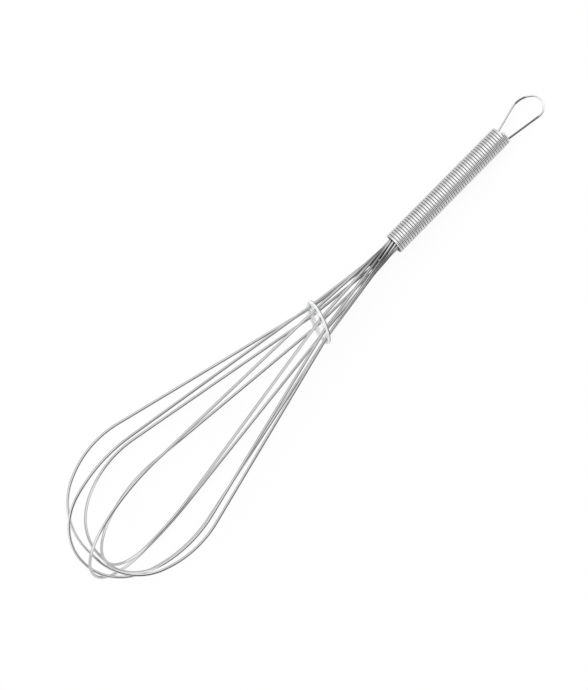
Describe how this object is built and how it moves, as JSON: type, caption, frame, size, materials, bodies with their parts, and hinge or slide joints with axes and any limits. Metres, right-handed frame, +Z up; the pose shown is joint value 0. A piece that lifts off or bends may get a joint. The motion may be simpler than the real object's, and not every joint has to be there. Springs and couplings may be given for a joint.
{
  "type": "balloon whisk",
  "caption": "Wire balloon whisk: closed loops crossing at the tip, a loose clear plastic spacer ring, a handle wound from one wire and a thin wire hanging loop.",
  "frame": {"origin": "centre of the bounding box's bottom face, on the table that the whisk lies on", "axes": "+X along the whisk, from the balloon towards the hanging loop; +Z up from the table; +Y to the left, seen from the balloon"},
  "size_m": [0.305, 0.0692, 0.0618],
  "materials": {
    "balloon_wire": "polished stainless steel wire",
    "handle_wire": "polished stainless steel wire, close wound",
    "hook_wire": "polished stainless steel wire",
    "sleeve": "plain drawn tube",
    "clear_plastic": "clear moulded plastic, slightly frosted"
  },
  "bodies": {
    "whisk": {"balloon_wire_1": "balloon_wire", "balloon_wire_2": "balloon_wire", "balloon_wire_3": "balloon_wire", "balloon_wire_4": "balloon_wire", "balloon_wire_5": "balloon_wire", "grip_sleeve": "sleeve", "handle_coil": "handle_wire", "hanging_loop": "hook_wire"},
    "ring": {"spacer_ring": "clear_plastic"}
  },
  "joints": [
    {"name": "ring_slide", "type": "slide", "parent": "whisk", "child": "ring", "axis": [0.9953, 0.0035, -0.0971], "range_m": [-0.0012, 0.0026]}
  ]
}
